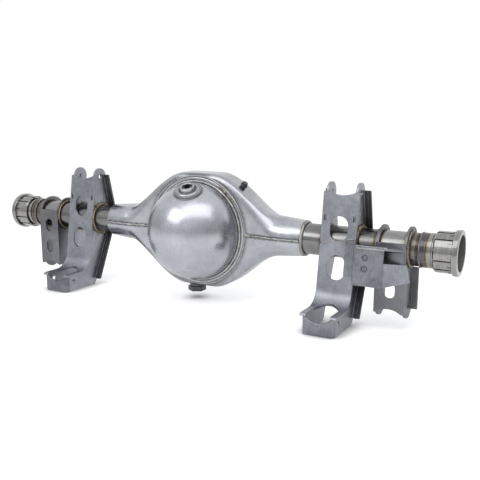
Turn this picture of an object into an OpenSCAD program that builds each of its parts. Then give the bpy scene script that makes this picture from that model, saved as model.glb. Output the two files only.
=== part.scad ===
// Welded rear axle housing: two pressed shells, a rear dome, axle tubes, end collars and plate brackets.
// X runs along the axle, Y points to the front of the vehicle, Z is up. The origin is on the axle line.

/* [Centre section] */
// Width of the rim of the shells outside the two rings
rim_w = 8; // [7.5:0.5:12]
// Half depth of the shells, front to rear
body_half_depth = 41; // [40:1:46]
// Wall of the pressed shells
shell_wall = 6; // [4:0.5:7]
// Distance from the middle of the housing to the end of each arm
arm_end_x = 293; // [280:1:310]
// Wall of each arm round its tube, at the end
arm_wall = 6.4; // [5:0.1:9]
// Radius that an arm gains from its end to the edge of the rings
arm_flare = 14; // [8:0.5:20]
// Half width of the flat crown of the shells
crown_w = 42; // [34:1:50]
// Length over which the shells come down from the crown to the arms
crown_fall = 180; // [165:1:190]

/* [Rear dome and rings] */
// Width of the rear ring, from the dome to the shells
ring_w = 15; // [14:0.5:20]
// Distance of the inner face of both rings from the axle line
ring_seat_y = 32; // [32:0.5:34]
// Distance of the outer face of both rings from the axle line
ring_face_y = 42; // [42:1:50]
// Radius of the dome at its rim
dome_r = 126; // [116:1:132]
// How far the dome stands out behind its ring
dome_depth = 127; // [116:1:136]
// Wall of the dome
dome_wall = 5; // [3:0.5:7]
// Width of the face that the gear carrier is bolted to
carrier_land = 28; // [24:1:34]
// Distance of the carrier studs from the outer edge of that face
stud_inset = 18; // [18:0.5:20]
// Diameter of the carrier studs
stud_d = 9.5; // [8:0.5:12]
// Length of the studs in front of the carrier ring
stud_reach = 32; // [20:1:40]
// Number of carrier studs
stud_count = 10; // [8:1:12]

/* [Plugs and vent] */
// Sideways place of the fill bung
fill_x = 12.7; // [0:0.1:20]
// Angle of the fill bung up the dome, from the middle of its back
fill_up = 63; // [56:0.5:65]
// Radius of the pad of the fill bung
fill_pad_r = 36; // [30:1:38]
// Radius of the boss of the fill bung
fill_boss_r = 19; // [18:1:22]
// Radius of the fill plug
fill_plug_r = 14; // [10:0.5:15]
// Sideways place of the drain bung
drain_x = -18; // [-24:1:0]
// Radius of the drain bung
drain_r = 19; // [16:0.5:20]
// Width across the flats of the drain plug
drain_flats = 42; // [36:1:44]
// Angle of the vent round the centre section, from upright
vent_turn = 51; // [44:1:54]
// Radius of the vent stem
vent_r = 6; // [4:0.5:7]

/* [Axle tubes and collars] */
// Outside diameter of the axle tubes
tube_d = 76.2; // [72:0.1:78]
// Wall of the axle tubes
tube_wall = 6.35; // [4:0.05:9]
// Length of tube inside each arm
tube_grip = 52; // [40:1:56]
// Distance from the middle of each arm bracket to the collar
collar_gap = 61; // [56:1:80]
// Length of each collar
collar_len = 84; // [80:1:96]
// Wall of the fluted part of the collar round the bearing
collar_wall = 6; // [5:0.5:9]
// Rise of the lip at the open end
lip_rise = 5; // [3:0.5:8]
// Radius of the bearing bore
bearing_r = 41; // [38:0.5:43]
// Depth of the bearing bore
bearing_depth = 30; // [24:1:36]
// Number of flutes round a collar
flute_count = 12; // [8:1:16]

/* [Link brackets] */
// Distance from the end of each arm to the middle of the link bracket
link_gap = 98; // [80:1:130]
// Width of the face strip
strip_w = 88; // [84:1:92]
// Outside width over the two cheeks
cheek_w = 78; // [74:1:80]
// Thickness of the plates
plate_t = 6; // [4:0.5:8]
// Room between the axle tube and the back of the face strip
face_gap = 1.3; // [0.5:0.1:6]
// Lean of the face strip from upright
face_lean = 9; // [6:0.5:11]
// Height of the top of the face strip
strip_top = 123; // [118:1:128]
// Radius of the bend at the foot of the face strip
bend_r = 45; // [38:1:52]
// Height of the top of the two legs at the foot, below the axle line
leg_drop = 139; // [134:1:144]
// Height of the floor that the brackets stand on, below the axle line
floor_drop = 188; // [182:1:194]
// Distance of the front of the coil cup behind the axle line
cup_back = 158; // [152:1:164]
// Radius of the bends of the coil cup
cup_bend_r = 10; // [8:0.5:13]
// Radius of the ears for the upper link
ear_r = 24; // [21:0.5:26]
// Height of the bolt holes of the ears
ear_z = 119; // [116:1:123]
// Diameter of the bolt holes of the ears
ear_hole_d = 13; // [10:0.5:17]
// Diameter of the bolt holes of the coil cup
cup_hole_d = 14.3; // [10:0.1:18]
// Width of the two openings in the face strip
window_w = 44; // [36:1:48]
// Height of the two openings in the face strip
window_h = 58; // [50:1:62]
// Width of the edge flanges of the cheeks
flange_w = 17; // [12:0.5:22]

/* [Arm brackets] */
// Distance from the middle of the link bracket to the middle of the arm bracket
arm_gap = 126; // [118:1:150]
// Outside width of an arm bracket
arm_w = 70; // [64:1:74]
// Radius of the round top of the arm bracket's cheeks
arm_disc_r = 50; // [47:1:54]
// Room between the axle tube and the back of the arm bracket's face
arm_face_gap = 0.9; // [0.5:0.1:6]
// Height of the top of the face of the arm bracket
arm_face_top = 17; // [12:1:24]
// Height of the lower arm's bolt holes, below the axle line
arm_hole_drop = 132; // [126:1:138]
// Diameter of the lower arm's bolt holes
arm_hole_d = 14.3; // [10:0.1:18]
// Radius of the round foot of the arm bracket's cheeks
arm_foot_r = 30; // [26:1:33]

/* [Track bar bracket] */
// Distance of the front plate from the face strip
track_reach = 25; // [18:1:32]
// Thickness of the track bar bracket's plate
track_t = 5; // [4:0.5:6]
// Height of the front plate
track_h = 84; // [74:1:90]

/* [Hidden] */
$fn = 72;

// Room between a piece and the hole that it sits in
fit = 0.15;
// Overcut that takes a cutter clear of the face that it opens
past = 1;
tube_r = tube_d / 2;
tube_bore_r = tube_r - tube_wall;
floor_z = -floor_drop;
leg_z = -leg_drop;
weld_leg = 7;

// Sizes and places that follow from others
ring_r = dome_r + ring_w;
body_r = ring_r + rim_w;
arm_end_r = tube_r + arm_wall;
carrier_bore_r = ring_r - carrier_land;
stud_circle_r = ring_r - stud_inset;
link_x = arm_end_x + link_gap;
arm_x = link_x + arm_gap;
collar_x = arm_x + collar_gap;
face_off = (tube_r + face_gap + plate_t) / cos(face_lean);
arm_face_off = tube_r + arm_face_gap + plate_t;
flute_r = bearing_r + collar_wall;
lip_r = flute_r + lip_rise;

// Turns a shape that stands on Z to stand along X
module along_x() rotate([0, 90, 0]) children();

// Turns a shape that stands on Z to stand along Y
module along_y() rotate([-90, 0, 0]) children();

// Draws an outline in Y and Z and gives it a width along X, from x0 to x1
module side_plate(x0, x1) translate([x0, 0, 0]) rotate([90, 0, 90]) linear_extrude(x1 - x0) children();

// An upright slot with round ends, drawn in X and Z
module slot_outline(w, h) {
    square([w, h - w], center = true);
    translate([0, (h - w) / 2]) circle(d = w);
    translate([0, (w - h) / 2]) circle(d = w);
}

// Cuts an outline drawn in X and Z right through along Y
module cut_through(depth) rotate([90, 0, 0]) linear_extrude(2 * depth, center = true) children();

// Half section of a fillet weld in the corner between the axle tube and a plate
module weld_section(leg) {
    r = tube_r + fit / 3;
    polygon([[r, 0], [tube_r + leg, 0], [tube_r + leg * 0.45, leg * 0.45], [r, leg]]);
}

// A fillet weld round the axle tube: its flat side faces along +X from x, or along -X if side is -1
module weld_ring(x, side, leg) translate([x, 0, 0]) rotate([0, 90 * side, 0]) rotate_extrude() weld_section(leg);

// Part of such a weld, between two angles that count from +Y towards +Z
module weld_arc(x, side, leg, from, to)
    translate([x, 0, 0])
        rotate([0, 90 * side, 0])
            rotate(side > 0 ? 90 + from : 90 - to) rotate_extrude(angle = to - from) weld_section(leg);

// Shells
section_count = 34;
section_points = 14;
depth_start = 150;
depth_end = 270;
square_start = 110;
square_end = 225;
round_section = 2;
square_section = 8;
socket_inset = arm_wall + 6.5;
socket_start = 190;
socket_full = 225;

function ease(t) = let (u = min(max(t, 0), 1)) u * u * (3 - 2 * u);
function between(a, b, x, x0, x1) = a + (b - a) * ease((abs(x) - x0) / (x1 - x0));
function arm_radius(x) = arm_end_r + arm_flare * max(arm_end_x - abs(x), 0) / (arm_end_x - ring_r);
function shell_height(x) = between(body_r, arm_radius(x), x, crown_w, crown_w + crown_fall);
function shell_depth(x) = between(body_half_depth, arm_radius(x), x, depth_start, depth_end);
function section_power(x) = between(square_section, round_section, x, square_start, square_end);
function shell_inset(x) = between(shell_wall, socket_inset, x, socket_start, socket_full);
function section_point(x, t, inset, side) =
    let (e = 2 / section_power(x))
    [x, (shell_depth(x) - inset) * sign(cos(t)) * pow(abs(cos(t)), e),
        side * (shell_height(x) - inset) * pow(sin(t), e)];
function shell_x(k) = arm_end_x * (2 * k / section_count - 1);
function shell_loop(x, side) = concat(
    [for (i = [0:section_points]) section_point(x, 180 * i / section_points, 0, side)],
    [for (i = [section_points:-1:0]) section_point(x, 180 * i / section_points, shell_inset(x), side)]
);

// One pressed half: a C-shaped section swept from arm end to arm end; side is 1 for the upper half
module shell_half(side) {
    loop = 2 * section_points + 2;
    points = [for (k = [0:section_count]) each shell_loop(shell_x(k), side)];
    quads = [for (k = [0:section_count - 1], j = [0:loop - 1])
        let (n = (j + 1) % loop, a = k * loop)
        [a + j, a + n, a + loop + n, a + loop + j]];
    triangles = [for (q = quads) each [[q[0], q[1], q[2]], [q[0], q[2], q[3]]]];
    last = section_count * loop;
    start_cap = [for (i = [0:section_points - 1])
        let (m = loop - 1 - i) each [[i + 1, i, m], [i + 1, m, m - 1]]];
    end_cap = [for (i = [0:section_points - 1])
        let (m = loop - 1 - i) each [[last + i, last + i + 1, last + m], [last + i + 1, last + m - 1, last + m]]];
    faces = concat(triangles, start_cap, end_cap);
    polyhedron(points, side > 0 ? [for (f = faces) [for (i = [len(f) - 1:-1:0]) f[i]]] : faces);
}

// The round openings, sockets and small holes of both shells
module shell_cutters() {
    reach = body_half_depth + past;
    for (s = [-1, 1]) {
        translate([0, s < 0 ? -reach : ring_seat_y, 0])
            along_y() cylinder(r = ring_r + fit, h = reach - ring_seat_y);
        translate([s * (arm_end_x - tube_grip - past), 0, 0])
            rotate([0, 90 * s, 0]) cylinder(r = tube_r + fit, h = tube_grip + 2 * past);
    }
}

module upper_shell() color("#a9abb0")
    difference() {
        shell_half(1);
        shell_cutters();
        at_vent() cylinder(r = vent_r + fit, h = 4 * shell_wall, center = true);
    }

module lower_shell() color("#a4a6ac")
    difference() {
        shell_half(-1);
        shell_cutters();
        translate([drain_x, -drain_back, drain_face - past]) cylinder(r = drain_r + fit, h = body_r);
    }

// Rear ring and dome
ring_round = 5;
ring_rim_in = dome_r + fit;
dome_skirt = ring_face_y - ring_seat_y - 0.5;
dome_steps = 14;

// Half section of a ring that lies between two distances from the axle line, with its outer edge rounded
module ring_section(r_in, r_out, y0, y1, edge) {
    translate([r_in, y0]) square([r_out - r_in, y1 - y0 - edge]);
    translate([r_in, y1 - edge - past]) square([r_out - edge - r_in, edge + past]);
    translate([r_out - edge, y1 - edge]) circle(r = edge);
}

// Stands a half section, drawn as radius and distance behind the axle line, all the way round the Y axis
module turn_rear() rotate([90, 0, 0]) rotate_extrude() children();

module rear_ring() color("#9ea0a6")
    turn_rear() ring_section(ring_rim_in, ring_r, ring_seat_y, ring_face_y, ring_round);

// Half outline of the dome as radius and distance behind the axle line, grown outwards by a small amount
function dome_arc(grow) = [for (i = [0:dome_steps])
    let (t = 90 * i / dome_steps)
    [(dome_r + grow) * cos(t), ring_face_y + (dome_depth + grow) * sin(t)]];

module dome_solid(grow) turn_rear()
    polygon(concat([[0, ring_face_y - dome_skirt], [dome_r + grow, ring_face_y - dome_skirt]], dome_arc(grow)));

// The fill bung stands square to the dome at its place
fill_z = dome_r * sin(fill_up);
fill_out = sqrt(1 - (fill_x * fill_x + fill_z * fill_z) / (dome_r * dome_r));
fill_y = ring_face_y + dome_depth * fill_out;
fill_normal = [fill_x / (dome_r * dome_r), -fill_out / dome_depth, fill_z / (dome_r * dome_r)];
fill_turn = atan2(fill_normal[1], fill_normal[0]);
fill_tilt = acos(fill_normal[2] / norm(fill_normal));

fill_cut = 3 * fill_boss_r;

module at_fill() translate([fill_x, -fill_y, fill_z]) rotate([0, fill_tilt, fill_turn]) children();

module rear_dome() color("#b4b6bc")
    difference() {
        dome_solid(0);
        difference() {
            dome_solid(-dome_wall);
            translate([-dome_r, -ring_face_y + dome_skirt - past, -dome_r]) cube([2 * dome_r, past, 2 * dome_r]);
        }
        translate([0, -ring_face_y + dome_skirt + past, 0])
            rotate([90, 0, 0]) cylinder(r = dome_r - dome_wall, h = dome_skirt);
        at_fill() cylinder(r = fill_boss_r + fit, h = fill_cut, center = true);
    }

module dome_weld() color("#8d8a86")
    turn_rear()
        polygon([[ring_rim_in, ring_face_y], [dome_r + 7, ring_face_y], [dome_r + 3.5, ring_face_y + 2.6],
            [ring_rim_in, ring_face_y + 4]]);

// Carrier ring and studs
module each_stud() for (i = [0:stud_count - 1]) rotate([0, 360 * i / stud_count, 0])
    translate([0, 0, stud_circle_r]) children();

stud_head_t = 5;
stud_head_r = stud_d / 2 + 2;
stud_shank_d = stud_d + 1.2;

module carrier_ring() color("#a0a2a7")
    difference() {
        along_y() rotate_extrude() ring_section(carrier_bore_r, ring_r, ring_seat_y, ring_face_y, 2);
        each_stud() along_y() cylinder(d = stud_shank_d + 2 * fit, h = ring_face_y + past);
    }

// Each stud has a head behind the ring, a pressed shank inside it and a thinner thread in front of it
module carrier_studs() color("#7c7d80")
    each_stud() {
        translate([0, ring_seat_y - stud_head_t, 0]) along_y() cylinder(r = stud_head_r, h = stud_head_t);
        translate([0, ring_seat_y, 0]) along_y() cylinder(d = stud_shank_d, h = ring_face_y - ring_seat_y);
        translate([0, ring_face_y, 0]) along_y() cylinder(d = stud_d, h = stud_reach);
    }

// Fill bung and plug
fill_pad_t = 4;
fill_boss_h = 12;
fill_step_r = fill_boss_r + 6;
fill_step_h = fill_pad_t + 2;

module fill_bung() color("#9c9ea4")
    difference() {
        union() {
            intersection() {
                difference() {
                    dome_solid(fill_pad_t);
                    dome_solid(0);
                }
                at_fill() cylinder(r = fill_pad_r, h = fill_cut, center = true);
            }
            at_fill() cylinder(r = fill_step_r, h = fill_step_h);
            at_fill() translate([0, 0, -2 * dome_wall]) cylinder(r = fill_boss_r, h = 2 * dome_wall + fill_boss_h);
        }
        at_fill() cylinder(r = fill_plug_r + fit, h = 2 * fill_cut, center = true);
    }

fill_recess = 1.5;
fill_plug_top = fill_boss_h - fill_recess;
fill_socket = 13;
fill_socket_depth = 6;

module fill_plug() color("#3d3f44")
    at_fill() difference() {
        translate([0, 0, -dome_wall]) cylinder(r = fill_plug_r, h = dome_wall + fill_plug_top);
        translate([0, 0, fill_plug_top - fill_socket_depth])
            cylinder(d = fill_socket / cos(30), h = fill_cut, $fn = 6);
    }

// Drain bung and plug, just in front of the rear ring's seat
drain_back = ring_seat_y - drain_r - 3 * fit;
drain_top = -body_r + 18;
drain_face = -body_r - 6;
drain_head_t = 13;
drain_thread_r = drain_r - 5;

module drain_bung() color("#77797d")
    translate([drain_x, -drain_back, drain_face]) difference() {
        cylinder(r = drain_r, h = drain_top - drain_face);
        translate([0, 0, -past]) cylinder(r = drain_thread_r + fit, h = drain_top - drain_face + 2 * past);
    }

module drain_plug() color("#33353a")
    translate([drain_x, -drain_back, drain_face]) {
        translate([0, 0, -past]) cylinder(r = drain_thread_r, h = drain_top - drain_face - 4 + past);
        translate([0, 0, -drain_head_t]) rotate(30) cylinder(d = drain_flats / cos(30), h = drain_head_t, $fn = 6);
    }

// Vent fitting, square to the shoulder of the upper shell
vent_x = body_r * sin(vent_turn);
vent_z = shell_height(vent_x);
vent_tilt = atan((shell_height(vent_x - past) - shell_height(vent_x + past)) / (2 * past));
vent_root = 14;
vent_top = 13;
vent_bore_r = vent_r / 3;
vent_hex_r = vent_r * 1.6;
vent_hex = [2.5, 5];
vent_cap_r = vent_r * 1.25;
vent_cap = 4;

module at_vent() translate([vent_x, 0, vent_z]) rotate([0, vent_tilt, 0]) children();

module vent_fitting() color("#6b6d72")
    at_vent() difference() {
        union() {
            translate([0, 0, -vent_root]) cylinder(r = vent_r, h = vent_root + vent_top);
            translate([0, 0, vent_hex[0]]) cylinder(r = vent_hex_r, h = vent_hex[1], $fn = 6);
            translate([0, 0, vent_top - vent_cap]) cylinder(r = vent_cap_r, h = vent_cap);
        }
        translate([0, 0, -vent_root - past]) cylinder(r = vent_bore_r, h = vent_root + vent_top + 2 * past);
    }

// Axle tubes
tube_start = arm_end_x - tube_grip;

module axle_tube(side) color("#b0b1b6")
    rotate([0, 90 * side, 0]) translate([0, 0, tube_start]) difference() {
        cylinder(r = tube_r, h = collar_x - tube_start);
        translate([0, 0, -past]) cylinder(r = tube_bore_r, h = collar_x);
    }

module left_axle_tube() axle_tube(-1);
module right_axle_tube() axle_tube(1);

// End collars: two neck rings, a fluted body and a lip, bored for the wheel bearing
ring_one = 13;
groove_w = 4;
ring_two = 8;
gap_w = 5;
lip_w = 13;
neck_w = 8;
neck_ring_r = tube_r + 2;
groove_r = tube_r - 1.5;
flute_chamfer = 3;
flute_slot = 4;
flute_depth = 4;
body_start = ring_one + groove_w + ring_two + gap_w;
neck_start = collar_len - lip_w - neck_w;
lip_start = collar_len - lip_w;

module collar_section() {
    square([neck_ring_r, ring_one]);
    square([groove_r, body_start + past]);
    translate([0, ring_one + groove_w]) square([neck_ring_r, ring_two]);
    polygon([[0, body_start], [flute_r - flute_chamfer, body_start], [flute_r, body_start + flute_chamfer],
        [flute_r, lip_start + past], [0, lip_start + past]]);
    translate([0, lip_start]) square([lip_r - 2, lip_w]);
    translate([0, lip_start + 2]) square([lip_r, lip_w - 4]);
    for (z = [lip_start + 2, collar_len - 2]) translate([lip_r - 2, z]) circle(r = 2);
}

module end_collar(side) color("#b9bac0")
    rotate([0, 90 * side, 0]) translate([0, 0, collar_x]) difference() {
        rotate_extrude() collar_section();
        translate([0, 0, -past]) cylinder(r = tube_bore_r, h = collar_len);
        translate([0, 0, collar_len - bearing_depth]) cylinder(r = bearing_r, h = bearing_depth + past);
        for (i = [0:flute_count - 1]) rotate(360 * (i + 0.5) / flute_count)
            translate([flute_r - flute_depth, -flute_slot / 2, body_start - past])
                cube([2 * flute_depth, flute_slot, lip_start - body_start + past]);
        for (i = [0:flute_count - 1]) rotate(360 * i / flute_count)
            translate([flute_r - 1.5, -flute_slot, neck_start]) cube([flute_depth, 2 * flute_slot, neck_w]);
    }

module left_end_collar() end_collar(-1);
module right_end_collar() end_collar(1);

// Link brackets: the face strip leans, then bends forwards into two legs that end over the coil cup
bend_steps = 16;
nose_steps = 6;
strip_lean_t = plate_t / cos(face_lean);
bend_z = leg_z + bend_r;
bend_y = face_y(bend_z - bend_r * sin(face_lean)) - bend_r * cos(face_lean);
leg_end_y = -cup_back;
cheek_in = cheek_w / 2 - plate_t;
cheek_out = cheek_w / 2;

function face_y(z) = -face_off + z * tan(face_lean);
function back_y(z) = face_y(z) + strip_lean_t;
function bend_arc(r) = [for (i = [0:bend_steps])
    let (a = -face_lean - (90 - face_lean) * i / bend_steps)
    [bend_y + r * cos(a), bend_z + r * sin(a)]];
function backwards(list) = [for (i = [len(list) - 1:-1:0]) list[i]];

// The legs' ends are turned down over the front of the cup
leg_nose = [for (i = [0:nose_steps])
    let (a = 90 + 90 * i / nose_steps)
    [leg_end_y + plate_t + plate_t * cos(a), leg_z - plate_t + plate_t * sin(a)]];

strip_outline = concat(
    [[face_y(strip_top), strip_top]], bend_arc(bend_r), leg_nose,
    backwards(bend_arc(bend_r + plate_t)), [[back_y(strip_top), strip_top]]
);

window_gap = 90;
window_top_z = 38;
arch_r = 29;
arch_y = bend_y - 3;
top_dip = 8;
top_dip_half = 34;
top_dip_r = (top_dip_half * top_dip_half + top_dip * top_dip) / (2 * top_dip);
tab_z = 62;
tab_h = 13;
tab_reach = 4;

module link_face() color("#8f9198")
    difference() {
        side_plate(-strip_w / 2, strip_w / 2) polygon(strip_outline);
        for (z = [window_top_z, window_top_z - window_gap])
            translate([0, 0, z]) cut_through(2 * face_off) slot_outline(window_w, window_h);
        translate([0, 0, strip_top - top_dip + top_dip_r]) cut_through(face_off) circle(r = top_dip_r);
        translate([0, arch_y, leg_z - 2 * plate_t]) {
            cylinder(r = arch_r, h = bend_r);
            translate([-arch_r, -cup_back, 0]) cube([2 * arch_r, cup_back, bend_r]);
        }
        for (s = [-1, 1]) translate([s * (cheek_out - plate_t / 2), -face_off, tab_z])
            cube([plate_t + 2 * fit, face_off, tab_h + 2 * fit], center = true);
    }

// Cheek outline in Y and Z: ear, leaning front edge, toe, heel and two far edges that meet at the axle
far_top = [ear_r - 5, ear_z + 5];
far_apex = [tube_r + 10.9, 3];
far_foot = [-33, floor_z + 16];
heel_r = 16;
heel_steps = 5;
cheek_front = -cup_back + cup_bend_r + 4;
heel_arc = [for (i = [0:heel_steps])
    let (a = -90 + 90 * i / heel_steps)
    [far_foot[0] - heel_r + heel_r * cos(a), floor_z + heel_r + heel_r * sin(a)]];
cup_top = leg_z - plate_t;
cup_hole = [cheek_front + 16, floor_z + 0.63 * (cup_top - floor_z)];

module cheek_outline() {
    difference() {
        union() {
            translate([0, ear_z]) circle(r = ear_r);
            polygon(concat([[back_y(ear_z), ear_z]], bend_arc(bend_r + plate_t),
                [[cheek_front, leg_z - plate_t], [cheek_front, floor_z]], heel_arc, [far_apex, far_top, [0, ear_z]]));
        }
        polygon(strip_outline);
    }
    tab_top = tab_z + tab_h / 2;
    tab_foot = tab_z - tab_h / 2;
    polygon([[back_y(tab_foot) + past, tab_foot], [back_y(tab_top) + past, tab_top],
        [back_y(tab_top) - tab_reach, tab_top], [back_y(tab_foot) - tab_reach, tab_foot]]);
}

flange_t = 6;
rib_w = 3;
rib_t = 2;
function shift_y(list, d) = [for (p = list) [p[0] + d, p[1]]];
far_edge = [far_top, far_apex, far_foot];
function flange_outline(t) = concat(far_edge, backwards(shift_y(far_edge, -t)));

// A cheek on the +X side of its bracket, with its far edges turned out into a ribbed flange
module link_cheek() color("#94969c")
    difference() {
        union() {
            side_plate(cheek_in, cheek_out) cheek_outline();
            side_plate(cheek_in, cheek_out + flange_w) polygon(flange_outline(flange_t));
            side_plate(cheek_out + (flange_w - rib_w) / 2, cheek_out + (flange_w + rib_w) / 2)
                polygon(flange_outline(flange_t + rib_t));
        }
        along_x() cylinder(r = tube_r + fit, h = 4 * cheek_w, center = true);
        translate([0, 0, ear_z]) along_x() cylinder(d = ear_hole_d, h = 4 * cheek_w, center = true);
        translate([0, cup_hole[0], cup_hole[1]]) along_x() cylinder(d = cup_hole_d, h = 4 * cheek_w, center = true);
    }

cup_dip = 13;
cup_dip_half = 30;
cup_dip_r = (cup_dip_half * cup_dip_half + cup_dip * cup_dip) / (2 * cup_dip);

// Outline of the coil cup from above: a U with round bends, open towards the axle
module cup_outline(half, front, bend) {
    translate([-half + bend, front]) square([2 * half - 2 * bend, cheek_front - front]);
    translate([-half, front + bend]) square([2 * half, cheek_front - front - bend]);
    for (s = [-1, 1]) translate([s * (half - bend), front + bend]) circle(r = bend);
}

module coil_cup() color("#9a9ca2")
    difference() {
        translate([0, 0, floor_z]) linear_extrude(cup_top - floor_z) intersection() {
            difference() {
                cup_outline(cheek_out, -cup_back, cup_bend_r);
                translate([0, past]) cup_outline(cheek_in, -cup_back + plate_t - past, cup_bend_r - plate_t);
            }
            translate([-cheek_w, -2 * cup_back]) square([2 * cheek_w, cheek_front + 2 * cup_back]);
        }
        translate([0, -cup_back, cup_top - cup_dip + cup_dip_r]) cut_through(2 * cup_bend_r) circle(r = cup_dip_r);
    }

module at_link(side) translate([side * link_x, 0, 0]) mirror([side < 0 ? 1 : 0, 0, 0]) children();

module left_link_face() at_link(-1) link_face();
module right_link_face() at_link(1) link_face();
module left_link_outer_cheek() at_link(-1) link_cheek();
module right_link_outer_cheek() at_link(1) link_cheek();
module left_link_inner_cheek() at_link(-1) mirror([1, 0, 0]) link_cheek();
module right_link_inner_cheek() at_link(1) mirror([1, 0, 0]) link_cheek();
module left_coil_cup() at_link(-1) coil_cup();
module right_coil_cup() at_link(1) coil_cup();

// Arm brackets: a face and two cheeks folded from one plate, with round tops round the axle tube
arm_disc_y = arm_disc_r - arm_face_off;
arm_hole_y = -6;
arm_far_y = 24;
arm_window_w = 26;
arm_window_h = 38;
arm_window_z = [-28, -92];
arm_foot_drop = arm_hole_drop + 14;
arm_arch_rise = 10;
arm_arch_half = arm_w / 2 - plate_t;
arm_arch_r = (arm_arch_half * arm_arch_half + arm_arch_rise * arm_arch_rise) / (2 * arm_arch_rise);
arm_flange_w = 14;
arm_flange_top = -46;
arm_flange_foot = -arm_foot_drop;

module arm_cheek_outline() {
    translate([arm_disc_y, 0]) circle(r = arm_disc_r);
    translate([arm_hole_y, -arm_hole_drop]) circle(r = arm_foot_r);
    polygon([[-arm_face_off, arm_face_top], [-arm_face_off, -arm_foot_drop + 14],
        [arm_hole_y - 22, -arm_hole_drop - 20],
        [arm_far_y, -arm_hole_drop], [arm_far_y, arm_flange_top], [arm_disc_y + 38, -32], [0, arm_face_top]]);
}

module arm_bracket() color("#8b8d93")
    difference() {
        union() {
            for (s = [-1, 1]) {
                x_out = s * arm_w / 2;
                x_in = x_out - s * plate_t;
                x_flange = x_out + s * arm_flange_w;
                side_plate(min(x_in, x_out), max(x_in, x_out)) arm_cheek_outline();
                side_plate(min(x_in, x_flange), max(x_in, x_flange))
                    translate([arm_far_y - plate_t, arm_flange_foot])
                        square([plate_t, arm_flange_top - arm_flange_foot]);
            }
            translate([-arm_w / 2, -arm_face_off, -arm_foot_drop])
                cube([arm_w, plate_t, arm_foot_drop + arm_face_top]);
        }
        along_x() cylinder(r = tube_r + fit, h = 4 * arm_w, center = true);
        translate([0, arm_hole_y, -arm_hole_drop]) along_x() cylinder(d = arm_hole_d, h = 4 * arm_w, center = true);
        for (z = arm_window_z) translate([0, -arm_face_off, z]) cut_through(2 * plate_t)
            slot_outline(arm_window_w, arm_window_h);
        translate([0, -arm_face_off, -arm_foot_drop + arm_arch_rise - arm_arch_r]) cut_through(plate_t + past)
            circle(r = arm_arch_r);
    }

module left_arm_bracket() translate([-arm_x, 0, 0]) arm_bracket();
module right_arm_bracket() translate([arm_x, 0, 0]) arm_bracket();

// Track bar bracket on the right side: a folded strap from the link bracket's face to the arm bracket's face
track_flange_x = link_x + window_w / 2 + 1;
track_wall_x = link_x + strip_w / 2;
track_front_x = track_wall_x + 9;
track_corner_x = arm_x - 8;
track_end_x = arm_x + arm_w / 2;
track_top = 0;
track_foot = track_top - track_h;
track_tab_top = -29;
dimple_d = 15;
dimple_t = 1.5;
dimple_z = [-20, -45];

// The plane of the face strip: x as in the part, y square to the strip, z up along it
module on_strip() translate([0, -face_off, 0]) rotate([-face_lean, 0, 0]) children();

// One flat run of the strap between two points seen from above, with round ends, from z0 up to z1
module strap_run(p, q, z0, z1) translate([0, 0, z0]) linear_extrude(z1 - z0) {
    translate(p) rotate(atan2(q[1] - p[1], q[0] - p[0])) translate([0, -track_t / 2]) square([norm(q - p), track_t]);
    for (c = [p, q]) translate(c) circle(d = track_t);
}

strap_y = -track_t / 2;
strap_front_y = -track_reach - track_t / 2;

// Space taken by the arm bracket's face and everything in front of it
module behind_arm_face() translate([arm_x - arm_w, -arm_face_off, -2 * arm_foot_drop])
    cube([2 * arm_w, 2 * arm_face_off, 4 * arm_foot_drop]);

module track_bar_bracket() color("#9093a0")
    difference() {
        on_strip() difference() {
            union() {
                strap_run([track_flange_x, strap_y], [track_wall_x, strap_y], -68, 14);
                strap_run([track_wall_x, strap_y], [track_front_x, strap_front_y], track_foot + 10, track_top);
                strap_run([track_front_x, strap_front_y], [track_corner_x, strap_front_y], track_foot, track_top);
                strap_run([track_corner_x, strap_front_y], [track_end_x, track_reach], track_foot, track_tab_top);
            }
            translate([track_flange_x - 2 * track_t, -2 * track_reach, -64]) rotate([0, 35, 0])
                translate([0, 0, -track_h])
                    cube([track_wall_x - track_flange_x, 2 * track_reach - track_t / 4, track_h]);
            translate([track_corner_x, -2 * track_reach, track_foot]) rotate([0, -25, 0])
                translate([0, 0, -track_h]) cube([3 * arm_w, 4 * track_reach, track_h]);
            for (z = dimple_z) translate([track_front_x + 25, strap_front_y - track_t / 2 + dimple_t, z])
                rotate([90, 0, 0]) cylinder(d = dimple_d, h = 2 * dimple_t);
        }
        behind_arm_face();
    }

track_top_t = 5;
track_top_x = track_wall_x + track_t / 2 + fit;

module track_bar_top() color("#9699a4")
    difference() {
        on_strip() translate([0, 0, track_top]) {
            linear_extrude(track_top_t) polygon([
                [track_top_x, strap_y], [track_front_x, strap_front_y - track_t / 2],
                [track_corner_x + 10, strap_front_y - track_t / 2], [track_end_x - 8, 0], [track_end_x - 8, track_reach],
                [arm_x - arm_w / 2 - 2, track_reach], [arm_x - arm_w / 2 - 2, 4], [track_top_x, 4]]);
            translate([track_front_x, strap_front_y, track_top_t]) along_x()
                cylinder(r = track_t / 2, h = track_corner_x - track_front_x + 8);
        }
        behind_arm_face();
    }

// Welds
module arm_end_welds() color("#85827d")
    for (s = [-1, 1]) weld_ring(s * arm_end_x, s, weld_leg - 1.5);

// The link brackets' welds run above and below the tube, from the face strip to the edge flanges
link_weld_r = tube_r + weld_leg;
weld_end = 1;
strip_turn = acos((tube_r + face_gap) / link_weld_r) + weld_end;
strip_angle = 180 - face_lean;
weld_far = shift_y(far_edge, -flange_t - rib_t);

// Direction and distance of the line through two points, seen from the axle line
function line_angle(p, q) = atan2(q[0] - p[0], p[1] - q[1]);
function line_gap(p, q) = (p[0] * (p[1] - q[1]) + p[1] * (q[0] - p[0])) / norm(q - p);
function line_turn(p, q) = acos(min(line_gap(p, q) / link_weld_r, 1)) + weld_end;

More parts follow.
